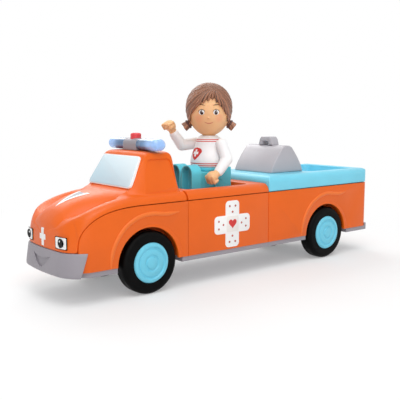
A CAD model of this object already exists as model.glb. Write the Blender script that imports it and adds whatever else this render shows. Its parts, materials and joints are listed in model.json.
import json
import math

import bpy
from mathutils import Euler, Matrix, Vector


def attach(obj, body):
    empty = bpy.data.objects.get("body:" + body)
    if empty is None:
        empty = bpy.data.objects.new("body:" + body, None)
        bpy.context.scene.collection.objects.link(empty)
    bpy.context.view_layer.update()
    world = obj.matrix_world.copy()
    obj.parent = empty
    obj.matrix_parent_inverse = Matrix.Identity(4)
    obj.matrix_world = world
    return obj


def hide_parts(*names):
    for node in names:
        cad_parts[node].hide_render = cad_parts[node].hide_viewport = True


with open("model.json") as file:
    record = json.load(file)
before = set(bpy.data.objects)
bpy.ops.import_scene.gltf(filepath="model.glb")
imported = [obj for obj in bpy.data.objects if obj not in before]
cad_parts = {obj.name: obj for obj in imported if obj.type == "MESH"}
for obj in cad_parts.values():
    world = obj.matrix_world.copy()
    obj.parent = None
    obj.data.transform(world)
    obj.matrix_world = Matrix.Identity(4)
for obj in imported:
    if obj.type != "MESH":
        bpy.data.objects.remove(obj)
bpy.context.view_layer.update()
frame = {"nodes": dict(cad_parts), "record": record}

# Looks of a toy ambulance with a seated rider: softened mouldings, painted marks, face and hair.
# Sizes are written in millimetres and turned to metres by MM. +X is forward, +Y the vehicle's left.

MM = 0.001
SIDES = (("left", 1), ("right", -1))
parts = frame["nodes"]
body_of_part = {n: b for b, names in frame["record"]["behaviour"]["bodies"].items() for n in names}


# Small sums


def mix(a, b, t):
    return a + (b - a) * t


def ease(t):
    t = min(1, max(0, t))
    return t * t * (3 - 2 * t)


def quarter(u, n):
    return max(0, 1 - min(1, max(0, u)) ** n) ** (1 / n)


def lookup(x, table):
    if x <= table[0][0]:
        return table[0][1]
    for (x0, v0), (x1, v1) in zip(table, table[1:]):
        if x <= x1:
            return mix(v0, v1, (x - x0) / (x1 - x0))
    return table[-1][1]


def row_faces(rows, n, closed=False):
    """Four-sided faces between rows of n points each, open or closed to rings."""
    return [(i * n + j, i * n + (j + 1) % n, (i + 1) * n + (j + 1) % n, (i + 1) * n + j)
            for i in range(rows - 1) for j in range(n if closed else n - 1)]


# Small bench tools


def put_down():
    if bpy.context.object and bpy.context.object.mode != "OBJECT":
        bpy.ops.object.mode_set(mode="OBJECT")
    bpy.ops.object.select_all(action="DESELECT")


def pick_up(piece):
    put_down()
    piece.hide_set(False)
    piece.select_set(True)
    bpy.context.view_layer.objects.active = piece


def edit(piece):
    pick_up(piece)
    bpy.ops.object.mode_set(mode="EDIT")
    bpy.ops.mesh.select_all(action="SELECT")


def outward(piece):
    edit(piece)
    bpy.ops.mesh.normals_make_consistent(inside=False)
    bpy.ops.object.mode_set(mode="OBJECT")
    return piece


def settle(piece):
    pick_up(piece)
    bpy.ops.object.transform_apply(location=True, rotation=True, scale=True)
    return piece


def harden(piece):
    pick_up(piece)
    for m in list(piece.modifiers):
        bpy.ops.object.modifier_apply(modifier=m.name)
    return piece


def bevelled(piece, width, segments, angle):
    b = piece.modifiers.new("edge", "BEVEL")
    b.width = width * MM
    b.segments = segments
    b.limit_method = "ANGLE"
    b.angle_limit = math.radians(angle)
    return b


def subdivided(piece):
    sub = piece.modifiers.new("round", "SUBSURF")
    sub.levels = sub.render_levels = 2


def walled(piece, thickness, offset):
    wall = piece.modifiers.new("wall", "SOLIDIFY")
    wall.thickness = thickness * MM
    wall.offset = offset


def smooth(piece, angle=40):
    pick_up(piece)
    bpy.ops.object.shade_smooth_by_angle(angle=math.radians(angle))
    return piece


def from_points(name, points, faces=(), edges=()):
    mesh = bpy.data.meshes.new(name)
    mesh.from_pydata([Vector(p) * MM for p in points], edges, faces)
    piece = bpy.data.objects.new(name, mesh)
    bpy.context.scene.collection.objects.link(piece)
    return piece


def place(piece, at):
    piece.matrix_world = Matrix.Translation(Vector(at) * MM)
    return settle(piece)


def turned(name, profile, steps=72, angle=40):
    """A turned piece: profile is radius and height from its foot to its head, spun about Z."""
    n = len(profile)
    piece = from_points(name, [(r, 0, h) for r, h in profile], edges=[(i, i + 1) for i in range(n - 1)])
    edit(piece)
    bpy.ops.mesh.spin(steps=steps, angle=2 * math.pi, center=(0, 0, 0), axis=(0, 0, 1))
    bpy.ops.mesh.select_all(action="SELECT")
    bpy.ops.mesh.remove_doubles(threshold=1e-7)
    bpy.ops.mesh.normals_make_consistent(inside=False)
    bpy.ops.object.mode_set(mode="OBJECT")
    return smooth(piece, angle)


def ball(name, at, radii, turn=None, segments=40, rings=24):
    put_down()
    bpy.ops.mesh.primitive_uv_sphere_add(segments=segments, ring_count=rings, radius=1)
    piece = bpy.context.object
    piece.name = name
    turning = turn.to_4x4() if turn else Matrix.Identity(4)
    sized = Matrix.Diagonal((*[r * MM for r in radii], 1))
    piece.matrix_world = Matrix.Translation(Vector(at) * MM) @ turning @ sized
    settle(piece)
    return smooth(piece, 80)


def torus(name, major, minor, segments):
    put_down()
    bpy.ops.mesh.primitive_torus_add(major_radius=major * MM, minor_radius=minor * MM,
                                     major_segments=segments, minor_segments=14)
    piece = bpy.context.object
    piece.name = name
    return piece


def limb(name, a, b, ra, rb):
    """A tapered bar with round ends from a to b."""
    a, b = Vector(a), Vector(b)
    d = b - a
    put_down()
    bpy.ops.mesh.primitive_cone_add(vertices=28, radius1=ra * MM, radius2=rb * MM, depth=d.length * MM)
    bar = bpy.context.object
    bar.name = name
    bar.matrix_world = Matrix.Translation((a + b) / 2 * MM) @ d.to_track_quat("Z", "Y").to_matrix().to_4x4()
    settle(bar)
    ends = [ball(name + "_end", p, (r, r, r), segments=28, rings=16) for p, r in ((a, ra), (b, rb))]
    return joined(name, [bar] + ends)


def joined(name, pieces):
    put_down()
    for p in pieces:
        p.select_set(True)
    bpy.context.view_layer.objects.active = pieces[0]
    bpy.ops.object.join()
    pieces[0].name = name
    return pieces[0]


def melted(piece, voxel, rounds):
    """Runs the joined forms of a moulding into one skin with soft edges."""
    m = piece.modifiers.new("melt", "REMESH")
    m.mode = "VOXEL"
    m.voxel_size = voxel * MM
    s = piece.modifiers.new("rub", "SMOOTH")
    s.iterations = rounds
    s.factor = 0.5
    harden(piece)
    return smooth(piece, 60)


def copied(part, name):
    piece = bpy.data.objects.new(name, parts[part].data.copy())
    bpy.context.scene.collection.objects.link(piece)
    pick_up(piece)
    bpy.ops.mesh.customdata_custom_splitnormals_clear()
    edit(piece)
    bpy.ops.mesh.remove_doubles(threshold=2e-6)
    bpy.ops.object.mode_set(mode="OBJECT")
    return piece


def eased(part, width, angle=32, segments=3):
    """A moulding with its sharp edges broken to a small round."""
    piece = copied(part, part + "_shell")
    edit(piece)
    bpy.ops.mesh.dissolve_limited(angle_limit=math.radians(0.4))
    bpy.ops.object.mode_set(mode="OBJECT")
    bevelled(piece, width, segments, angle).miter_outer = "MITER_ARC"
    harden(piece)
    return smooth(piece, angle)


def worn(piece, part, finish):
    """Puts a finished piece in the place of a part, on its body."""
    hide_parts(part)
    return dressed(piece, body_of_part[part], finish)


def dressed(piece, body, finish):
    piece.data.materials.clear()
    piece.data.materials.append(finish)
    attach(piece, body)
    return piece


def rounded(corners, r):
    """An outline with its corners rounded: corners run round once."""
    out = []
    n, steps = len(corners), 6
    for i in range(n):
        p, a, b = Vector(corners[i]), Vector(corners[i - 1]), Vector(corners[(i + 1) % n])
        u, v = (a - p).normalized(), (b - p).normalized()
        half = u.angle(v) / 2
        d = r / math.tan(half)
        c = p + (u + v).normalized() * (r / math.sin(half))
        s, e = p + u * d - c, p + v * d - c
        for k in range(steps + 1):
            t = k / steps
            out.append(c + (s * (1 - t) + e * t).normalized() * r)
    return out


def block(half_u, half_v):
    return [(-half_u, -half_v), (half_u, -half_v), (half_u, half_v), (-half_u, half_v)]


def slab(name, outline, t0, t1, frame_of):
    """A flat piece: an outline in its own plane, raised from t0 to t1, put in place by a matrix."""
    piece = from_points(name, [(p[0], p[1], t0) for p in outline], [tuple(range(len(outline)))])
    edit(piece)
    bpy.ops.mesh.extrude_region_move(TRANSFORM_OT_translate={"value": (0, 0, (t1 - t0) * MM)})
    bpy.ops.mesh.select_all(action="SELECT")
    bpy.ops.mesh.normals_make_consistent(inside=False)
    bpy.ops.object.mode_set(mode="OBJECT")
    m = frame_of.copy()
    m.translation = m.translation * MM
    piece.matrix_world = m
    settle(piece)
    outward(piece)
    return piece


def edged(piece, width):
    bevelled(piece, width, 2, 50)
    harden(piece)
    return smooth(piece, 40)


def cut(piece, cutter):
    b = piece.modifiers.new("cut", "BOOLEAN")
    b.operation = "DIFFERENCE"
    b.object = cutter
    b.solver = "EXACT"
    harden(piece)
    bpy.data.objects.remove(cutter)
    return piece


def lying(origin, u, v):
    """The matrix of a plane through origin, along u and v."""
    u, v = Vector(u).normalized(), Vector(v).normalized()
    w = u.cross(v)
    rows = [(u[i], v[i], w[i], origin[i]) for i in range(3)]
    return Matrix((*rows, (0, 0, 0, 1)))


def grid(name, rows):
    return from_points(name, [p for r in rows for p in r], row_faces(len(rows), len(rows[0])))


def laid_on(piece, target, axis, lift, thick):
    """Lays a flat mark on a curved moulding, seen along an axis, and gives it the thickness of a print."""
    w = piece.modifiers.new("lay", "SHRINKWRAP")
    w.target = target
    w.wrap_method = "PROJECT"
    w.use_project_x, w.use_project_y, w.use_project_z = axis == "X", axis == "Y", axis == "Z"
    w.use_negative_direction = True
    w.use_positive_direction = True
    w.offset = lift * MM
    harden(piece)
    outward(piece)
    want = Vector([1 if axis == a else 0 for a in "XYZ"])
    if sum((p.normal.dot(want) for p in piece.data.polygons)) < 0:
        edit(piece)
        bpy.ops.mesh.flip_normals()
        bpy.ops.object.mode_set(mode="OBJECT")
    walled(piece, thick, 1)
    harden(piece)
    return smooth(piece, 50)


def drawn_line(name, points, r, finish, taper=0.6):
    """A thin printed line through points, as a slim tube pressed into the surface."""
    curve = bpy.data.curves.new(name, "CURVE")
    curve.dimensions = "3D"
    line = curve.splines.new("POLY")
    line.points.add(len(points) - 1)
    n = len(points) - 1
    for i, p in enumerate(points):
        line.points[i].co = (*(Vector(p) * MM), 1)
        line.points[i].radius = 0.3 + 0.7 * math.sin(math.pi * i / n) ** taper
    curve.bevel_depth = r * MM
    curve.bevel_resolution = 3
    curve.use_fill_caps = True
    piece = bpy.data.objects.new(name, curve)
    bpy.context.scene.collection.objects.link(piece)
    pick_up(piece)
    bpy.ops.object.convert(target="MESH")
    piece = bpy.context.object
    edit(piece)
    bpy.ops.mesh.remove_doubles(threshold=1e-7)
    bpy.ops.mesh.normals_make_consistent(inside=False)
    bpy.ops.object.mode_set(mode="OBJECT")
    return dressed(smooth(piece, 60), "head", finish)


# Finishes


def linear(rgb):
    def one(c):
        c = c / 255
        return c / 12.92 if c <= 0.04045 else ((c + 0.055) / 1.055) ** 2.4
    return (*[one(c) for c in rgb], 1)


class Mix:
    """A finish on the bench: a shader with its nodes wired one after another."""

    def __init__(self, name):
        self.material = bpy.data.materials.new(name)
        self.material.use_nodes = True
        self.tree = self.material.node_tree
        self.shader = self.tree.nodes["Principled BSDF"]
        self.place = self.add("ShaderNodeTexCoord").outputs["Object"]

    def add(self, kind, **values):
        node = self.tree.nodes.new(kind)
        for key, value in values.items():
            if hasattr(node, key):
                setattr(node, key, value)
            else:
                node.inputs[key.replace("_", " ")].default_value = value
        return node

    def put(self, **values):
        for key, value in values.items():
            self.shader.inputs[key.replace("_", " ")].default_value = value

    def join(self, a, b):
        self.tree.links.new(a, b)

    def noise(self, scale, detail=3.0, at=None):
        n = self.add("ShaderNodeTexNoise", Scale=scale, Detail=detail)
        self.join(at or self.place, n.inputs["Vector"])
        return n.outputs["Fac"]

    def ramp(self, value, low, high, a=0.35, b=0.65):
        r = self.add("ShaderNodeValToRGB")
        r.color_ramp.elements[0].position = a
        r.color_ramp.elements[0].color = low
        r.color_ramp.elements[1].position = b
        r.color_ramp.elements[1].color = high
        self.join(value, r.inputs["Fac"])
        return r.outputs["Color"]

    def between(self, value, a, b, low=0.0, high=1.0):
        m = self.add("ShaderNodeMapRange")
        m.interpolation_type = "SMOOTHSTEP"
        for key, v in (("From Min", a), ("From Max", b), ("To Min", low), ("To Max", high)):
            m.inputs[key].default_value = v
        self.join(value, m.inputs["Value"])
        return m.outputs["Result"]

    def sum(self, kind, a, b):
        n = self.add("ShaderNodeMath", operation=kind)
        for i, v in enumerate((a, b)):
            if isinstance(v, (int, float)):
                n.inputs[i].default_value = v
            else:
                self.join(v, n.inputs[i])
        return n.outputs[0]

    def over(self, base, top, share):
        m = self.add("ShaderNodeMix", data_type="RGBA")
        self.join(share, m.inputs[0])
        for i, v in ((6, base), (7, top)):
            if isinstance(v, tuple):
                m.inputs[i].default_value = v
            else:
                self.join(v, m.inputs[i])
        return m.outputs[2]

    def axis(self, letter):
        s = self.add("ShaderNodeSeparateXYZ")
        self.join(self.place, s.inputs[0])
        return s.outputs[letter]

    def bump(self, height, depth, strength=1.0):
        b = self.add("ShaderNodeBump", Strength=strength, Distance=depth * MM)
        self.join(height, b.inputs["Height"])
        self.join(b.outputs["Normal"], self.shader.inputs["Normal"])

    def colour(self, out):
        self.join(out, self.shader.inputs["Base Color"])

    def rough(self, low, high, scale=350.0):
        self.join(self.between(self.noise(scale), 0.3, 0.7, low, high), self.shader.inputs["Roughness"])


def shade(rgb, k):
    return linear([min(255, c * k) for c in rgb])


def moulding(name, rgb, low=0.3, high=0.42, grain=0.012, drift=0.04, coat=0.0, gloss=0.4):
    """Moulded plastic: a slight drift of colour, fine grain and uneven polish."""
    m = Mix(name)
    m.colour(m.ramp(m.noise(45.0, 4.0), shade(rgb, 1 - drift), shade(rgb, 1 + drift / 2)))
    m.rough(low, high)
    m.bump(m.noise(3800.0, 2.0), grain)
    m.put(Coat_Weight=coat, Coat_Roughness=0.25, Specular_IOR_Level=gloss)
    return m.material


ORANGE = (231, 99, 11)
SKY = (112, 204, 229)
GREY = (152, 147, 154)
WHITE = (244, 244, 243)
SKIN = (243, 190, 138)
BLUSH = (238, 160, 122)
HAIR = (138, 93, 70)
TROUSERS = (92, 202, 220)
RED = (206, 52, 48)

orange = moulding("orange moulding", ORANGE, 0.34, 0.42, 0.006, 0.015, 0.0, 0.34)
raised_orange = moulding("orange raised line", (238, 116, 42), 0.34, 0.42, 0.006, 0.015, 0.0, 0.34)
sky = moulding("sky blue moulding", SKY, 0.33, 0.4, 0.006, 0.02, 0.08)
bed_sky = moulding("bed blue moulding", (122, 212, 236), 0.33, 0.4, 0.006, 0.02, 0.08)
grey = moulding("grey moulding", GREY, 0.42, 0.5, 0.012, 0.02)
case_grey = moulding("case grey moulding", (180, 177, 183), 0.32, 0.4, 0.008, 0.02, gloss=0.6)
white = moulding("white print", WHITE, 0.35, 0.45, 0.006, 0.02)
ink_black = moulding("black print", (6, 6, 7), 0.2, 0.3, 0.004, gloss=0.06)
ink_red = moulding("red print", RED, 0.35, 0.45, 0.006)
ink_grey = moulding("grey print", (150, 152, 160), 0.35, 0.45, 0.006)
button_red = moulding("red button", (222, 58, 66), 0.25, 0.35, 0.01, coat=0.2)
trousers = moulding("turquoise moulding", TROUSERS, 0.4, 0.52, 0.015)
board_green = moulding("board green", (42, 110, 64), 0.45, 0.6, 0.01)
dome_grey = moulding("dome rubber", (66, 66, 68), 0.6, 0.75, 0.02)
pad_finish = moulding("plaster pad", (236, 232, 228), 0.5, 0.65, 0.03, 0.03)
ink_dot = moulding("plaster dots", (178, 84, 70), 0.4, 0.5, 0.006)


def steel_finish():
    m = Mix("drawn steel")
    s = m.add("ShaderNodeMapping")
    s.inputs["Scale"].default_value = (1, 0.05, 1)
    m.join(m.place, s.inputs["Vector"])
    lines = m.noise(2600.0, 2.0, at=s.outputs["Vector"])
    m.colour(m.ramp(lines, linear((176, 178, 182)), linear((208, 210, 214))))
    m.put(Metallic=1.0)
    m.join(m.between(lines, 0.2, 0.8, 0.24, 0.4), m.shader.inputs["Roughness"])
    return m.material


def brass_finish():
    m = Mix("contact brass")
    m.colour(m.ramp(m.noise(500.0), linear((196, 160, 88)), linear((220, 188, 118))))
    m.put(Metallic=1.0)
    m.rough(0.28, 0.42)
    return m.material


def tyre_finish():
    """Soft black tyre with a fine grain."""
    m = Mix("soft tyre")
    m.colour(m.ramp(m.noise(160.0, 4.0), linear((2, 2, 2)), linear((5, 5, 5))))
    m.rough(0.4, 0.55, 240.0)
    m.put(Specular_IOR_Level=0.08)
    m.bump(m.noise(2200.0, 3.0), 0.04)
    return m.material


def screen_finish():
    """Pale blue sheet that fades to white towards its upper near corner."""
    m = Mix("windscreen sheet")
    up = m.axis("Z")
    side = m.axis("Y")
    slope = m.sum("ADD", up, m.sum("MULTIPLY", side, 0.35))
    cloud = m.sum("MULTIPLY", m.noise(30.0), 0.006)
    fade = m.between(m.sum("ADD", slope, cloud), 0.056, 0.08)
    m.colour(m.ramp(fade, linear((186, 225, 242)), linear((232, 245, 250)), 0.0, 1.0))
    m.rough(0.14, 0.22)
    m.put(Coat_Weight=0.4)
    return m.material


def lens_finish():
    """Tinted lens: deep at its rims and pale over the lamp inside."""
    m = Mix("blue lens")
    off = m.sum("ABSOLUTE", m.axis("Y"), 0)
    glow = m.between(off, 0.007, 0.021, 0.0, 1.0)
    tint = m.ramp(glow, linear((74, 118, 160)), linear((158, 196, 238)), 0.0, 1.0)
    cloud = m.between(m.noise(260.0), 0.45, 0.75, 0.0, 0.3)
    m.colour(m.over(tint, linear((186, 214, 244)), cloud))
    m.join(m.between(glow, 0.45, 1.0, 0.0, 0.16), m.shader.inputs["Emission Strength"])
    m.put(Emission_Color=linear((190, 216, 250)), Roughness=0.12)
    m.put(Transmission_Weight=0.45, IOR=1.46, Coat_Weight=0.4)
    m.bump(m.noise(900.0), 0.02)
    return m.material


def lamp_core_finish():
    m = Mix("lamp core")
    m.colour(m.ramp(m.noise(400.0), linear((226, 238, 250)), linear((246, 250, 252))))
    m.rough(0.2, 0.3)
    m.put(Emission_Color=linear((214, 232, 255)), Emission_Strength=1.6)
    return m.material


def skin_finish(name, cheeks=True):
    """Matte skin-toned moulding, with a faint blush on the cheeks of the head."""
    m = Mix(name)
    base = m.ramp(m.noise(60.0), shade(SKIN, 0.97), shade(SKIN, 1.02))
    if cheeks:
        for y in (-6.4, 6.4):
            far = m.add("ShaderNodeVectorMath", operation="DISTANCE")
            m.join(m.place, far.inputs[0])
            far.inputs[1].default_value = head_point(11.2, y, -6.6) * MM
            share = m.between(far.outputs["Value"], 0.0042, 0.0008, 0.0, 0.55)
            base = m.over(base, linear(BLUSH), share)
    m.colour(base)
    m.rough(0.45, 0.58)
    m.put(Subsurface_Weight=0.12, Subsurface_Radius=(0.002, 0.0009, 0.0005))
    m.bump(m.noise(2600.0), 0.01)
    return m.material


def hair_finish():
    """Moulded hair: fine strands that fan out from a side parting."""
    m = Mix("moulded hair")
    turn = m.add("ShaderNodeMapping", vector_type="TEXTURE")
    turn.inputs["Location"].default_value = head_point(*PARTING) * MM
    turn.inputs["Rotation"].default_value = (0, math.radians(PART_LEAN), math.radians(HEAD_TURN))
    m.join(m.place, turn.inputs["Vector"])
    fan = m.add("ShaderNodeTexGradient", gradient_type="RADIAL")
    m.join(turn.outputs["Vector"], fan.inputs["Vector"])
    wobble = m.sum("MULTIPLY", m.noise(160.0, 3.0), 0.05)
    angle = m.sum("ADD", fan.outputs["Fac"], wobble)
    strand = m.add("ShaderNodeTexNoise", noise_dimensions="1D", Scale=62.0, Detail=3.0, Roughness=0.6)
    m.join(angle, strand.inputs["W"])
    fine = m.add("ShaderNodeTexNoise", noise_dimensions="1D", Scale=240.0, Detail=2.0)
    m.join(angle, fine.inputs["W"])
    broad = m.sum("MULTIPLY", strand.outputs["Fac"], 0.7)
    both = m.sum("ADD", broad, m.sum("MULTIPLY", fine.outputs["Fac"], 0.3))
    m.colour(m.ramp(both, shade(HAIR, 0.6), shade(HAIR, 1.32), 0.36, 0.64))
    m.rough(0.38, 0.5)
    m.bump(both, 0.5, 0.9)
    return m.material


def shirt_finish(name, bands):
    """White moulded shirt with printed bands at the given heights, each with a half height."""
    m = Mix(name)
    base = m.ramp(m.noise(70.0), linear((236, 236, 238)), linear((247, 247, 247)))
    up = m.axis("Z")
    for z, half in bands:
        off = m.sum("ABSOLUTE", m.sum("SUBTRACT", up, z * MM), 0)
        base = m.over(base, linear(RED), m.between(off, (half + 0.05) * MM, (half - 0.05) * MM))
    m.colour(base)
    m.rough(0.45, 0.6)
    m.bump(m.noise(900.0, 4.0), 0.02)
    return m.material


# Rider: places on the head and arms

RIDER_X = 5.4
HEAD_TURN = 50.0
HEAD_AT = Vector((RIDER_X, 0, 98.7))
HEAD_R, CROWN_H, CHIN_H = 13.3, 14.0, 17.1
PARTING, PART_LEAN = (7.0, 3.4, 11.5), 62.0
SHOULDER_Y, SHOULDER_Z = 11.8, 76.9
UPPER_ARM, FOREARM, HAND = 8.8, 9.7, 5.1
ELBOW_OUT = 4.0


def head_point(x, y, z):
    a = math.radians(HEAD_TURN)
    return HEAD_AT + Vector((x * math.cos(a) - y * math.sin(a), x * math.sin(a) + y * math.cos(a), z))


def head_radius(z):
    if z >= 0:
        return HEAD_R * math.sqrt(max(0, 1 - (z / CROWN_H) ** 2))
    return HEAD_R * math.sqrt(max(0, 1 - (z / CHIN_H) ** 2))


def face_point(y, z, lift=0.0):
    """A place on the front of the head, and the way it faces."""
    r = head_radius(z)
    x = math.sqrt(max(0.01, r * r - y * y))
    slope = (head_radius(z + 0.4) - head_radius(z - 0.4)) / 0.8
    n = Vector((x / r, y / r, -slope)).normalized()
    a = Matrix.Rotation(math.radians(HEAD_TURN), 3, "Z")
    return head_point(x, y, z) + (a @ n) * lift, a @ n


def swing(length, angle):
    a = math.radians(angle)
    return Vector((length * math.sin(a), 0, -length * math.cos(a)))


def arm_places(side, angles):
    shoulder = Vector((RIDER_X, side * SHOULDER_Y, SHOULDER_Z))
    elbow = shoulder + swing(UPPER_ARM, angles[0]) + Vector((0, side * ELBOW_OUT, 0))
    wrist = elbow + swing(FOREARM, angles[1])
    return shoulder, elbow, wrist, wrist + swing(HAND, angles[2])


# Front: bonnet, wings and cab as one soft shell

HALF_W = 28.4
NOSE_X, NOSE_CX, NOSE_CY, NOSE_R, NOSE_BOW = 114.7, 101.7, 15.4, 13.0, 0.9
FALL_X, SEAM_X, COWL_X, TIP_X = 70.0, 109.75, 77.4, 115.6
SHOULDER_R, ROOF_Y, ROOF_DROP = 5.2, 20.6, 2.3
SCREEN_RUN, SCREEN_TOP = 10.6, 1.15
WALL_T = 1.5
DECK_Z, COWL_Z, ROOF_Z, BELT_Z, PANEL_Z, BUMPER_Z = 53.2, 55.2, 74.9, 48.25, 28.0, 27.1
NOSE_MARK_Z, BUTTON_X = 32.8, 58.3
DOOR_MARK_X, DOOR_MARK_Z = 11.4, 31.9
FRONT_ARCH_X, REAR_ARCH_X = 67.9, -72.8
CAB = [(45.2, 0), (48.6, 0.93), (50.2, 1), (65.2, 1), (66.8, 0.93), (77.4, 0)]


def plan_half(x):
    """Half width of the front, seen from above."""
    if x <= NOSE_CX:
        return HALF_W
    if x <= NOSE_X:
        return NOSE_CY + math.sqrt(max(0, NOSE_R ** 2 - (x - NOSE_CX) ** 2))
    return max(0.8, NOSE_CY * math.sqrt(max(0, 1 - (x - NOSE_X) / NOSE_BOW)))


def belt_at(x):
    """Height of the seam between a side panel and the wing."""
    if x > SEAM_X:
        return BUMPER_Z + 0.25
    return PANEL_Z + (BELT_Z - PANEL_Z) * quarter((x - FALL_X) / (SEAM_X - FALL_X), 2.7)


def ridge_at(x):
    """Height of the wing's ridge."""
    foot = BUMPER_Z + 7
    return foot + (DECK_Z - foot) * quarter((x - FALL_X) / (TIP_X - FALL_X), 1.95)


def crown_at(x):
    """Height of the bonnet's middle."""
    foot = BUMPER_Z + 8
    if x < COWL_X:
        return DECK_Z
    return foot + (COWL_Z - foot) * quarter((x - COWL_X) / (TIP_X - COWL_X), 2.1)


def valley_at(x):
    """Height of the dip between the ridge and the middle."""
    if x < COWL_X:
        return DECK_Z
    dip = 2.9 * ease((NOSE_X - 1 - x) / 13)
    return mix(ridge_at(x) - dip, COWL_Z - 0.4, ease((COWL_X + 11 - x) / 11))


def half_section(x):
    """One half of the shell's outline, from the belt up and in to the middle; s is the cab's share."""
    h, s = plan_half(x), lookup(x, CAB)
    inset = min(SHOULDER_R, h * 0.36)
    yr, zr = h - inset, ridge_at(x)
    zb = min(belt_at(x), zr - inset / 2)
    turn = math.radians(mix(90, 60, s))
    yv = min(mix(20.8, 12.5, (x - COWL_X) / (NOSE_X - COWL_X)), yr - inset * 0.45)
    ty, tz = mix(yv, ROOF_Y, s), mix(valley_at(x), ROOF_Z - ROOF_DROP, s)
    cz = mix(max(crown_at(x), valley_at(x)), ROOF_Z, s)
    out = [(yr + inset * math.cos(turn * k / 6), zb + (zr - zb) * math.sin(turn * k / 6)) for k in range(7)]
    fy, fz = out[-1]
    out += [(mix(fy, ty, k / 4), mix(fz, tz, k / 4)) for k in range(1, 5)]
    for k in range(1, 9):
        c = math.sqrt(max(0, math.cos(math.radians(90 * k / 8))))
        up = mix(1 - c ** 2.6, max(0, 1 - c ** 4) ** 0.25, s)
        out.append((ty * c, mix(tz, cz, up)))
    return out


def front_shell():
    """Lofts the cage of the front moulding, rounds it by subdivision and gives it a wall."""
    xs = [NOSE_X + NOSE_BOW * t for t in (1, 0.93, 0.7, 0.35, 0)]
    xs += [mix(NOSE_X, SEAM_X + 0.3, t) for t in (0.05, 0.16, 0.36, 0.66, 1)]
    bonnet = (0, 0.006, 0.025, 0.07, 0.14, 0.24, 0.35, 0.47, 0.6, 0.73, 0.86, 0.95)
    xs += [mix(SEAM_X, COWL_X, t) for t in bonnet]
    xs += [COWL_X, 75.6, 72, 68.2, 66.8, 65.2, 62, 57.7, 53, 50.2, 48.6, 47.4, 45.2, 44.6, 43.8]
    points = []
    for x in xs:
        half = half_section(x)
        ring = [(x, y, z) for y, z in half] + [(x, -y, z) for y, z in half[-2::-1]]
        points += ring
    n = len(ring)
    faces = row_faces(len(xs), n)
    for first in (0, (len(xs) - 1) * n):
        # Three strips close the sides of an end, and one face closes what is left above them.
        for j in range(3):
            faces.append((first + n - 1 - j, first + n - 2 - j, first + j + 1, first + j))
        faces.append(tuple(range(first + 3, first + n - 3)))
    piece = from_points("bonnet_cab", points, faces)
    outward(piece)
    subdivided(piece)
    walled(piece, WALL_T, -1)
    harden(piece)
    return piece


def make_front():
    """The front shell with its side windows pressed in, and the windscreen."""
    shell = front_shell()
    foot_y = HALF_W - SHOULDER_R + SHOULDER_R * math.cos(math.radians(60))
    foot_z = 48 + SHOULDER_R * math.sin(math.radians(60))
    lean = Vector((0, ROOF_Y - foot_y, ROOF_Z - ROOF_DROP - foot_z)).normalized()
    for s in (1, -1):
        outline = rounded([(47.0, 0.9), (71.6, 0.9), (64.9, 19.0), (50.6, 19.0)], 2.2)
        up = Vector((lean[0], s * lean[1], lean[2]))
        at = lying((0, s * foot_y, foot_z), (1, 0, 0), up)
        depth = (-2.0, 0.55) if s > 0 else (-0.55, 2.0)
        cut(shell, slab("window_tool", outline, depth[0], depth[1], at))
    smooth(shell, 30)
    worn(shell, "hood_cab", orange)
    rise = ROOF_Z - SCREEN_TOP - COWL_Z
    rake = math.atan2(SCREEN_RUN, rise)
    up = Vector((-math.sin(rake), 0, math.cos(rake)))
    at = lying((COWL_X, 0, COWL_Z - 0.2), (0, 1, 0), up)
    length = math.hypot(SCREEN_RUN, rise)
    border = rounded([(-21.8, 1.4), (21.8, 1.4), (18.7, length - 1.4), (-18.7, length - 1.4)], 2.2)
    rim = edged(slab("screen_rim", border, -1.0, 0.35, at), 0.12)
    worn(rim, "windscreen", white)
    inner = rounded([(-21.15, 1.95), (21.15, 1.95), (18.1, length - 1.95), (-18.1, length - 1.95)], 1.9)
    pane = edged(slab("screen_pane", inner, -0.6, 0.55, at), 0.12)
    dressed(pane, "front_half", screen_finish())
    return shell


# Marks


def heart_row(t, size):
    """Half width of a heart at a height share t from its tip to its lobes."""
    w = size * (math.sin(math.pi * min(1, t * 0.62)) ** 0.75) * 0.52
    if t > 0.62:
        w = size * 0.52 * math.sqrt(max(0, 1 - ((t - 0.62) / 0.38) ** 2.4))
    return w


def bar_rows(x, half_y, half_z, z, across, up):
    """A flat bar ahead of a surface, as rows of points, to be laid on it."""
    return [[(x, half_y * mix(-1, 1, j / across), z + half_z * mix(-1, 1, i / up)) for j in range(across + 1)]
            for i in range(up + 1)]


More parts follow.
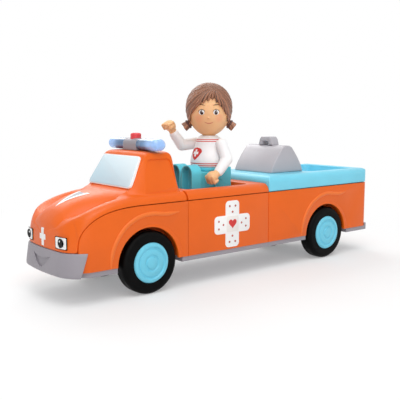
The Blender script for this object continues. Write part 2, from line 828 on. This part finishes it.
def make_marks(shell):
    """Printed marks: a bonnet stripe, a plus on the nose and crossed plasters on the doors."""
    above, ahead = 62.0, 130.0
    xs = [mix(108.0, 91.4, k / 24) for k in range(25)]
    for side, s in SIDES:
        rows = []
        for x in xs:
            near = mix(0, 3.4, max(0, (104.2 - x) / 12.8))
            far = mix(0.12, 6.0, (108 - x) / 16.6)
            rows.append([(x, s * mix(near, far, j / 5), above) for j in range(6)])
        arm = laid_on(grid(f"bonnet_stripe_{side}", rows), shell, "Z", 0.04, 0.12)
        dressed(arm, "front_half", white)
    rows = []
    for x in [mix(103.4, 92.4, k / 20) for k in range(21)]:
        far = mix(0.05, 3.1, max(0, (103.4 - x) / 12.0))
        rows.append([(x, mix(-1, 1, j / 8) * far, above) for j in range(9)])
    dressed(laid_on(grid("bonnet_stripe_fill", rows), shell, "Z", 0.04, 0.1), "front_half", ink_grey)
    for name, hy, hz in (("upright", 1.3, 4.6), ("cross", 3.2, 1.4)):
        rows = bar_rows(ahead, hy, hz, NOSE_MARK_Z, 8, 10)
        plus = laid_on(grid("nose_plus_" + name, rows), shell, "X", 0.05 if hy < 2 else 0.09, 0.12)
        dressed(plus, "front_half", white)
    for side, s in SIDES:
        at = lying((DOOR_MARK_X, s * HALF_W, DOOR_MARK_Z), (-s, 0, 0), (0, 0, 1))
        long = rounded(block(5.2, 13.5), 2.4)
        wide = [(p[1], -p[0]) for p in long]
        dressed(edged(slab(f"plaster_{side}_upright", long, -0.05, 0.2, at), 0.08), "rear_half", white)
        dressed(edged(slab(f"plaster_{side}_across", wide, -0.05, 0.34, at), 0.08), "rear_half", white)
        pad = rounded(block(4.6, 4.6), 1.0)
        dressed(edged(slab(f"plaster_{side}_pad", pad, -0.05, 0.44, at), 0.06), "rear_half", pad_finish)
        size, outline = 6.2, []
        for k in range(40):
            a = 2 * math.pi * k / 40
            hx = 16 * math.sin(a) ** 3
            hy = 13 * math.cos(a) - 5 * math.cos(2 * a) - 2 * math.cos(3 * a) - math.cos(4 * a)
            outline.append((hx / 33 * size, (hy + 2) / 33 * size))
        dressed(slab(f"plaster_{side}_heart", outline, 0.3, 0.5, at), "rear_half", ink_red)
        dots, dot_r = [], 0.62
        turns = [2 * math.pi * k / 20 for k in range(20)]
        for u, v in ((0, 1), (1, 0), (0, -1), (-1, 0)):
            for along, off in ((7.0, 0), (10.4, -2.2), (10.4, 2.2)):
                c = Vector((u * along - v * off, v * along + u * off))
                ring = [c + dot_r * Vector((math.cos(q), math.sin(q))) for q in turns]
                dots.append(slab("dot", ring, 0.15, 0.36, at))
        dressed(joined(f"plaster_{side}_dots", dots), "rear_half", ink_dot)


# Bumper, lamps and wheels


def bumper_place(u, d):
    """Plan place at a way u along the nose from its middle, a distance d outside it."""
    if abs(u) <= NOSE_CY:
        return NOSE_X + d + NOSE_BOW * (1 - (u / NOSE_CY) ** 2), u
    a = math.pi / 2 - (abs(u) - NOSE_CY) / NOSE_R
    y = NOSE_CY + (NOSE_R + d) * math.cos(a)
    return NOSE_CX + (NOSE_R + d) * math.sin(a), math.copysign(y, u)


def make_bumper():
    """The wrapped bumper: a row of rings round the nose, with a shallow crescent pressed into its front."""
    under = 14.6
    shares = [-1, -0.97, -0.9, -0.82, -0.74, -0.66, -0.58, -0.5, -0.4, -0.3, -0.2, -0.1]
    shares = shares + [0] + [-q for q in shares[::-1]]
    points = []
    for q in shares:
        top, foot = q * 32.2, q * 28.6
        inner = 0.12 if abs(q) > 0.76 else -1.2
        ring = [(foot, inner, under + 0.1), (foot, 0.9, under), (foot, 1.9, under + 0.3),
                (mix(foot, top, 0.12), 2.36, under + 1.2), (mix(foot, top, 0.5), 1.65, 20.8),
                (mix(foot, top, 0.88), 0.95, 25.6), (top, 0.75, BUMPER_Z - 0.5), (top, 0.35, BUMPER_Z - 0.05),
                (top, inner, BUMPER_Z)]
        points += [(*bumper_place(u, d), z) for u, d, z in ring]
    m = len(ring)
    faces = row_faces(len(shares), m, True)
    last = (len(shares) - 1) * m
    faces += [tuple(range(m - 1, -1, -1)), tuple(range(last, last + m))]
    piece = from_points("bumper_wrap", points, faces)
    outward(piece)
    bevelled(piece, 0.35, 2, 60)
    subdivided(piece)
    harden(piece)
    lean = math.atan2(1.9, 12.5)
    at = lying((116.3, 0, 23.7), (0, 1, 0), (-math.sin(lean), 0, math.cos(lean)))
    half, sag, depth = 9.4, 1.4, 6.4
    outline = [(half * t, -sag * (1 - t * t)) for t in [k / 10 - 1 for k in range(21)]]
    outline += [(half * t, -depth * (1 - abs(t) ** 1.7)) for t in [0.9 - k / 10 for k in range(19)]]
    cut(piece, slab("crescent_tool", outline, -0.5, 4.0, at))
    worn(smooth(piece, 35), "front_bumper", grey)


def make_headlamps():
    """White lamps with a dark edge behind them and a glint on each black disc."""
    for side, s in SIDES:
        worn(eased(f"{side}_headlamp", 0.12), f"{side}_headlamp", white)
        low_z, high_z, near_y, far_y = 28.65, 34.8, 13.15, 21.95
        edge = [bumper_place(s * mix(near_y, far_y, j / 16), 0.12) for j in range(17)]
        rows = [[(x, y, mix(low_z, high_z, i / 8)) for x, y in edge] for i in range(9)]
        rim = grid(f"{side}_headlamp_edge", rows)
        walled(rim, 0.3, 0)
        harden(rim)
        outward(rim)
        dressed(smooth(rim, 30), "front_half", ink_black)
        glint_at, radii = (115.02, s * 17.3, 32.7), (0.14, 0.55, 0.5)
        glint = ball(f"{side}_headlamp_glint", glint_at, radii, segments=24, rings=14)
        dressed(glint, "front_half", white)


def make_light_bar():
    """Lenses, housing and the push button, whose cap is hollow over the rubber dome."""
    lens = lens_finish()
    for lamp in ("left_lamp", "right_lamp"):
        worn(smooth(copied(lamp, lamp + "_lens"), 50), lamp, lens)
    worn(eased("light_bar", 0.35), "light_bar", grey)
    hollow = [(0, 81.0), (2.1, 81.0), (2.1, 79.5)]
    flange = [(3.35, 79.5), (3.35, 80.2), (3.0, 80.2)]
    crown = [(3.0, 83.2), (2.9, 83.75), (2.6, 84.15), (2.1, 84.4), (1.2, 84.48), (0, 84.5)]
    cap = turned("button_cap", hollow + flange + crown, 56, 35)
    worn(place(cap, (BUTTON_X, 0, 0)), "siren_button", button_red)


def make_wheels():
    tyre = tyre_finish()
    for end in ("front", "rear"):
        for side in ("left", "right"):
            part = f"{end}_{side}_tyre"
            worn(smooth(copied(part, part + "_skin"), 50), part, tyre)
            part = f"{end}_{side}_hub"
            worn(eased(part, 0.12, 20, 2), part, sky)


# Rider


def set_on(name, y, z, radii, lift, finish):
    """A flat ball set on the face."""
    at, n = face_point(y, z, lift)
    dressed(ball(name, at, radii, n.to_track_quat("X", "Z").to_matrix(), 28, 16), "head", finish)


def make_head():
    """Head, neck and nose run into one, with eyes, brows and mouth set on."""
    quarters = [math.pi / 2 * k / 24 for k in range(25)]
    profile = [(HEAD_R * math.sin(a), -CHIN_H * math.cos(a)) for a in quarters]
    profile += [(HEAD_R * math.cos(a), CROWN_H * math.sin(a)) for a in quarters[1:-1]] + [(0, CROWN_H)]
    skull = turned("head_form", profile, 80, 80)
    place(skull, HEAD_AT)
    neck = turned("neck_form", [(0, 76.6), (3.75, 76.6), (3.75, 84), (3.4, 87), (0, 87)], 48)
    place(neck, (RIDER_X, 0, 0))
    tip = ball("nose_form", face_point(0, -6.2, -0.1)[0], (0.95, 0.85, 0.75), segments=24, rings=16)
    head = joined("head_form", [skull, neck, tip])
    worn(melted(head, 0.32, 3), "rider_head", skin_finish("head skin"))
    eye_white = moulding("eye white", (247, 247, 246), 0.2, 0.3, 0.002, 0.01)
    iris = moulding("eye brown", (70, 46, 36), 0.2, 0.3, 0.002, 0.1)
    glint = moulding("eye glint", (250, 250, 250), 0.2, 0.3, 0.002, 0.01)
    brow = moulding("brow brown", (126, 84, 62), 0.5, 0.6, 0.004)
    lip = moulding("lip", (205, 104, 84), 0.45, 0.55, 0.004)
    spread = [k / 6 - 1 for k in range(13)]
    for side, s in SIDES:
        set_on(f"eye_{side}_white", s * 4.3, -3.0, (0.3, 1.75, 1.55), -0.08, eye_white)
        set_on(f"eye_{side}_iris", s * 4.2, -3.1, (0.28, 1.12, 1.3), 0.06, iris)
        set_on(f"eye_{side}_glint", s * 4.2 + 0.4, -2.6, (0.2, 0.36, 0.36), 0.26, glint)
        lash = [(s * (4.3 + 2.0 * t), -2.95 + 1.581 * (1 - t * t) ** 0.5) for t in spread]
        drawn_line(f"lash_{side}", [face_point(y, z, 0.12)[0] for y, z in lash], 0.16, iris)
        arch = []
        for t in [k / 8 for k in range(9)]:
            arch.append((s * (2.5 + 4.0 * t), 0.6 + 0.9 * math.sin(math.pi * (0.15 + 0.7 * t))))
        drawn_line(f"brow_{side}", [face_point(y, z, 0.05)[0] for y, z in arch], 0.26, brow)
    smile = [(2.6 * t, -9.4 + 0.75 * t * t) for t in spread]
    drawn_line("mouth_line", [face_point(y, z, 0.02)[0] for y, z in smile], 0.24, lip)


def combed(piece, depth):
    """Presses strands into the moulded hair, fanned out from the parting."""
    parting = head_point(*PARTING)
    turn = Euler((0, math.radians(PART_LEAN), math.radians(HEAD_TURN))).to_matrix().inverted()
    pressed = []
    for v in piece.data.vertices:
        p = turn @ (v.co / MM - parting)
        a = math.atan2(p.y, p.x)
        wave = 0.6 * math.sin(37 * a + 1.6 * math.sin(5 * a)) + 0.4 * math.sin(61 * a + 2.0)
        fade = ease((math.hypot(p.x, p.y) - 2.5) / 4)
        pressed.append(v.co - v.normal * (depth * MM * fade * (0.5 + 0.5 * wave)))
    for v, co in zip(piece.data.vertices, pressed):
        v.co = co
    return piece


def make_hair():
    """The cap of hair with a fringe of locks and two hair ties."""
    hair = copied("rider_hair", "hair_cap")
    strands = hair_finish()
    worn(combed(melted(hair, 0.3, 4), 0.34), "rider_hair", strands)
    ends = [(2.0, 4.3), (-0.6, 3.4), (-3.4, 2.4), (-6.0, 1.0), (-8.2, -0.9), (-9.9, -3.4)]
    ends += [(4.4, 2.6), (6.6, 0.4), (8.6, -1.8), (10.0, -4.2)]
    for k, (y, z) in enumerate(ends):
        y0, z0, bow = (2.7, 8.6, 2.6) if k < 6 else (3.4, 8.4, 1.6)
        path = []
        for t in [i / 12 for i in range(13)]:
            up = mix(z0, z, t ** 1.25) + bow * 2 * t * (1 - t)
            path.append(face_point(mix(y0, y, t), up, 0.55 + 0.25 * math.sin(math.pi * t))[0])
        drawn_line(f"fringe_lock_{k + 1}", path, 1.15, strands, taper=0.5)
    tie = moulding("hair tie", (92, 62, 60), 0.5, 0.6, 0.02)
    droop = math.radians(125)
    for side, s in SIDES:
        axis = head_point(0, s * math.sin(droop), math.cos(droop)) - HEAD_AT
        root = head_point(-1, s * 9.8, -8.2) + axis * 3.3
        band = torus(f"hair_tie_{side}", 2.3, 0.62, 36)
        band.matrix_world = Matrix.Translation(root * MM) @ axis.to_track_quat("Z", "Y").to_matrix().to_4x4()
        dressed(smooth(settle(band), 80), "head", tie)


def make_torso():
    """The shirt with its bands and collar, and a heart and plus on the chest."""
    hem_z, height, belly_r = 63.1, 18.4, 11.5
    shares = [(0.012, 0.95), (0.05, 0.97), (0.2, 1), (0.36, 0.94), (0.5, 0.86), (0.6, 0.8), (0.7, 0.735),
              (0.82, 0.7), (0.91, 0.66), (0.97, 0.56), (1, 0.44)]
    profile = [(0, hem_z), (10.6, hem_z)] + [(belly_r * r, hem_z + height * h) for h, r in shares]
    profile.append((0, hem_z + height))
    torso = turned("shirt_form", profile, 72, 60)
    subdivided(torso)
    harden(torso)
    place(torso, (RIDER_X, 0, 0))
    bands = [(65.4, 0.28), (64.2, 0.28), (79.6, 0.26), (78.5, 0.26)]
    worn(smooth(torso, 60), "rider_torso", shirt_finish("shirt", bands))
    collar = place(torus("shirt_collar", 4.9, 0.6, 56), (RIDER_X, 0, 81.3))
    dressed(smooth(collar, 80), "rider", shirt_finish("collar", []))
    ahead = 40.0
    rows = []
    for i in range(15):
        t = i / 14
        w = heart_row(t, 8.0)
        rows.append([(ahead, mix(-w, w, j / 10), 67.4 + 7.4 * t) for j in range(11)])
    dressed(laid_on(grid("chest_heart", rows), torso, "X", 0.04, 0.12), "rider", ink_red)
    for name, hy, hz in (("upright", 0.75, 2.1), ("cross", 2.1, 0.75)):
        rows = bar_rows(ahead, hy, hz, 71.6, 6, 6)
        dressed(laid_on(grid("chest_plus_" + name, rows), torso, "X", 0.12, 0.1), "rider", white)


def make_arms():
    """Sleeves bent at the elbow, and hands closed to fists."""
    sleeve = shirt_finish("sleeve", [])
    hand_skin = skin_finish("hand skin", False)
    for side, s, angles in (("left", 1, (-3.4, 41, 64)), ("right", -1, (82, 140, 150))):
        shoulder, elbow, wrist, palm = arm_places(s, angles)
        upper = limb("upper", shoulder, elbow, 3.45, 3.5)
        fore = limb("fore", elbow, wrist - (wrist - elbow).normalized() * 0.6, 3.5, 2.9)
        peg = limb("peg", shoulder - Vector((0, s * 7.0, 0)), shoulder, 1.9, 1.9)
        arm = joined(f"{side}_sleeve", [upper, fore, peg])
        worn(melted(arm, 0.34, 6), f"rider_{side}_arm", sleeve)
        out = (palm - wrist).normalized()
        across = Vector((0, 1, 0))
        back = out.cross(across).normalized()
        forms = [limb("wrist", wrist - out * 0.5, palm - out * 1.0, 2.1, 2.5)]
        turn = Matrix((out, across, back)).transposed()
        forms.append(ball("palm", palm + out * 0.1, (3.7, 3.7, 3.2), turn))
        for k in range(4):
            y = (k - 1.5) * 1.86
            root = palm + out * (2.5 if k in (1, 2) else 2.1) + across * y + back * 0.8
            bend = root - back * 3.7 + out * 0.1
            forms.append(limb("finger", root, bend, 1.0, 0.95))
            forms.append(limb("finger", bend, bend - out * 2.5 + back * 0.2, 0.95, 0.9))
        knuckle = palm - across * s * 2.6 - back * 1.4
        forms.append(limb("thumb", knuckle, knuckle + out * 0.9 - back * 2.0 + across * s * 1.6, 1.2, 1.0))
        hand = joined(f"{side}_hand_form", forms)
        worn(melted(hand, 0.18, 2), f"rider_{side}_hand", hand_skin)


def make_legs():
    legs = copied("rider_legs", "leg_form")
    worn(melted(legs, 0.34, 3), "rider_legs", trousers)
    hips = copied("rider_pelvis", "hip_form")
    worn(melted(hips, 0.34, 2), "rider_pelvis", trousers)


# Bodies and inner pieces


def arch_line(x, end, side, s):
    """The raised line over an arch: a soft half round that starts low in front and ends in a wave."""
    r, foot, half_wide, high = 24.6, 18.6, 1.15, 0.68
    angles = [math.radians(a) for a in range(-3, 102, 3)]
    path = [(x + r * math.cos(a), foot + r * math.sin(a)) for a in angles]
    x0, z0 = path[-1]
    for k in range(1, 15):
        t = k / 14
        path.append((x0 - 14.5 * t, z0 - 2.2 * t + 1.1 * (1 - math.cos(2.6 * t)) * t))
    points, n, around = [], len(path) - 1, 16
    for i, (px, pz) in enumerate(path):
        ax, az = path[max(0, i - 1)]
        bx, bz = path[min(n, i + 1)]
        along = Vector((bx - ax, bz - az)).normalized()
        full = 0.2 + 0.8 * min(1, i / 6, (n - i) / 6)
        for q in [math.tau * k / around for k in range(around)]:
            out = half_wide * full * math.cos(q)
            y = s * (HALF_W - 0.05 + high * full * math.sin(q))
            points.append((px - along[1] * out, y, pz + along[0] * out))
    faces = row_faces(n + 1, around, True)
    faces += [tuple(range(around)), tuple(n * around + k for k in range(around))]
    piece = from_points(f"{end}_{side}_arch_line", points, faces)
    outward(piece)
    dressed(smooth(piece, 60), f"{end}_half", raised_orange)


def arch_lip(x, end, side, s):
    """The arch's outer lip, which closes in on the tyre at the rear."""
    axle_z, outer, inner, ahead = 17.0, 20.75, 19.2, 1.3
    rim, hem = [], []
    for k in range(37):
        a = math.radians(mix(1.0, 179.0, k / 36))
        near = ahead * math.cos(a) + math.sqrt(inner ** 2 - (ahead * math.sin(a)) ** 2)
        rim.append((x + outer * math.cos(a), axle_z + outer * math.sin(a)))
        hem.append((x + near * math.cos(a), axle_z + near * math.sin(a)))
    at = lying((0, s * (HALF_W - 0.04), 0), (1, 0, 0), (0, 0, 1))
    depth = (0.0, 1.8) if s > 0 else (-1.8, 0.0)
    lip = edged(slab(f"{end}_{side}_arch_lip", rim + hem[::-1], depth[0], depth[1], at), 0.08)
    dressed(lip, f"{end}_half", orange)


def make_bodies():
    """Mouldings that keep the CAD form with broken edges, and the arches' lines and lips."""
    outline = [(-130, 5), (130, 5), (130, 47.5), (-130, 47.5)]
    for end, x in (("front", FRONT_ARCH_X), ("rear", REAR_ARCH_X)):
        part = f"{end}_body"
        piece = eased(part, 0.25)
        for side, s in SIDES:
            at = lying((0, s * (HALF_W + 0.02), 0), (1, 0, 0), (0, 0, 1))
            depth = (-2.0, 0.0) if s > 0 else (0.0, 2.0)
            cut(piece, slab("line_tool", outline, depth[0], depth[1], at))
            arch_line(x, end, side, s)
            arch_lip(x, end, side, s)
        worn(smooth(piece, 32), part, orange)
    worn(eased("cockpit_deck", 0.4), "cockpit_deck", orange)
    worn(eased("bed_tub", 0.5), "bed_tub", bed_sky)
    for part in ("front_chassis", "rear_chassis"):
        worn(eased(part, 0.25), part, grey)
    worn(eased("case_body", 0.9, 50), "case_body", case_grey)
    handle, narrow = eased("case_handle", 0.5), 0.8
    mid = sum((v.co.y for v in handle.data.vertices)) / len(handle.data.vertices)
    for v in handle.data.vertices:
        v.co.y = mid + (v.co.y - mid) * narrow
    worn(handle, "case_handle", case_grey)


def finish_inner():
    """Pieces that keep their plain form get their finishes."""
    steel = steel_finish()
    finishes = {"headlamp_discs": ink_black, "battery_contacts": brass_finish(), "battery_door": grey,
                "lamp_leds": lamp_core_finish(), "circuit_board": board_green, "button_dome": dome_grey,
                "rider_hip_pin": trousers}
    for part in ("front_axle", "rear_axle", "front_screws", "rear_screws", "door_screw", "button_cells"):
        finishes[part] = steel
    for part, finish in finishes.items():
        parts[part].data.materials.clear()
        parts[part].data.materials.append(finish)


# Stage, light and camera


def seen_rays(tree):
    """One for what the camera, a reflection or a clear piece shows, nought for light on the toy."""
    path = tree.nodes.new("ShaderNodeLightPath")
    total = path.outputs["Is Camera Ray"]
    for kind in ("Is Glossy Ray", "Is Transmission Ray"):
        add = tree.nodes.new("ShaderNodeMath")
        add.operation = "ADD"
        add.use_clamp = True
        tree.links.new(total, add.inputs[0])
        tree.links.new(path.outputs[kind], add.inputs[1])
        total = add.outputs["Value"]
    return total


def make_stage():
    put_down()
    bpy.ops.mesh.primitive_plane_add(size=6)
    floor = bpy.context.object
    floor.name = "floor"
    m = Mix("pale floor")
    m.colour(m.ramp(m.noise(3.0), linear((246, 246, 246)), linear((250, 250, 250))))
    m.put(Roughness=0.9, Specular_IOR_Level=0.1)
    far = m.add("ShaderNodeVectorMath", operation="LENGTH")
    m.join(m.place, far.inputs[0])
    paper = m.add("ShaderNodeEmission")
    paper.inputs["Strength"].default_value = 1.0
    sweep = m.add("ShaderNodeMixShader")
    share = m.between(far.outputs["Value"], 0.06, 0.3, 0.25, 1.0)
    m.join(m.sum("MULTIPLY", share, seen_rays(m.tree)), sweep.inputs["Fac"])
    m.join(m.shader.outputs["BSDF"], sweep.inputs[1])
    m.join(paper.outputs["Emission"], sweep.inputs[2])
    m.join(sweep.outputs["Shader"], m.tree.nodes["Material Output"].inputs["Surface"])
    floor.data.materials.append(m.material)
    world = bpy.data.worlds.new("studio")
    bpy.context.scene.world = world
    world.use_nodes = True
    tree = world.node_tree
    back = tree.nodes["Background"]
    back.inputs["Color"].default_value = (1, 1, 1, 1)
    back.inputs["Strength"].default_value = 0.5
    seen = tree.nodes.new("ShaderNodeBackground")
    seen.inputs["Color"].default_value = (1, 1, 1, 1)
    seen.inputs["Strength"].default_value = 1.0
    blend = tree.nodes.new("ShaderNodeMixShader")
    tree.links.new(seen_rays(tree), blend.inputs["Fac"])
    tree.links.new(back.outputs["Background"], blend.inputs[1])
    tree.links.new(seen.outputs["Background"], blend.inputs[2])
    tree.links.new(blend.outputs["Shader"], tree.nodes["World Output"].inputs["Surface"])
    lights = {"key": ((0.16, 0.26, 0.7), 2.5), "fill": ((0.35, 0.55, 0.3), 0.9),
              "rim": ((-0.14, -0.5, 0.5), 2.0)}
    for name, (at, power) in lights.items():
        data = bpy.data.lights.new(name, "AREA")
        data.size = 0.5
        data.energy = power
        lamp = bpy.data.objects.new(name, data)
        bpy.context.scene.collection.objects.link(lamp)
        lamp.location = at
        lamp.rotation_mode = "QUATERNION"
        lamp.rotation_quaternion = (Vector((0, 0, 0.04)) - Vector(at)).to_track_quat("-Z", "Y")


def make_camera():
    data = bpy.data.cameras.new("camera")
    focal_px, wide_px, sensor = 639.4, 400, 36
    data.sensor_width = sensor
    data.lens = focal_px / wide_px * sensor
    data.shift_x = 0.1 / wide_px
    data.shift_y = -2.2 / wide_px
    data.clip_start = 0.01
    data.clip_end = 30
    cam = bpy.data.objects.new("camera", data)
    bpy.context.scene.collection.objects.link(cam)
    yaw, pitch = math.radians(38.89), math.radians(7.4)
    back = Vector((math.sin(yaw) * math.cos(pitch), math.cos(yaw) * math.cos(pitch), math.sin(pitch)))
    cam.location = Vector((254.8, 300.4, 94.3)) * MM
    cam.rotation_mode = "QUATERNION"
    cam.rotation_quaternion = (-back).to_track_quat("-Z", "Y")
    bpy.context.scene.camera = cam


bpy.context.scene.view_settings.view_transform = "Standard"
make_camera()
make_stage()
make_bodies()
shell = make_front()
make_bumper()
make_headlamps()
make_light_bar()
make_wheels()
make_marks(shell)
make_legs()
make_torso()
make_arms()
make_head()
make_hair()
finish_inner()
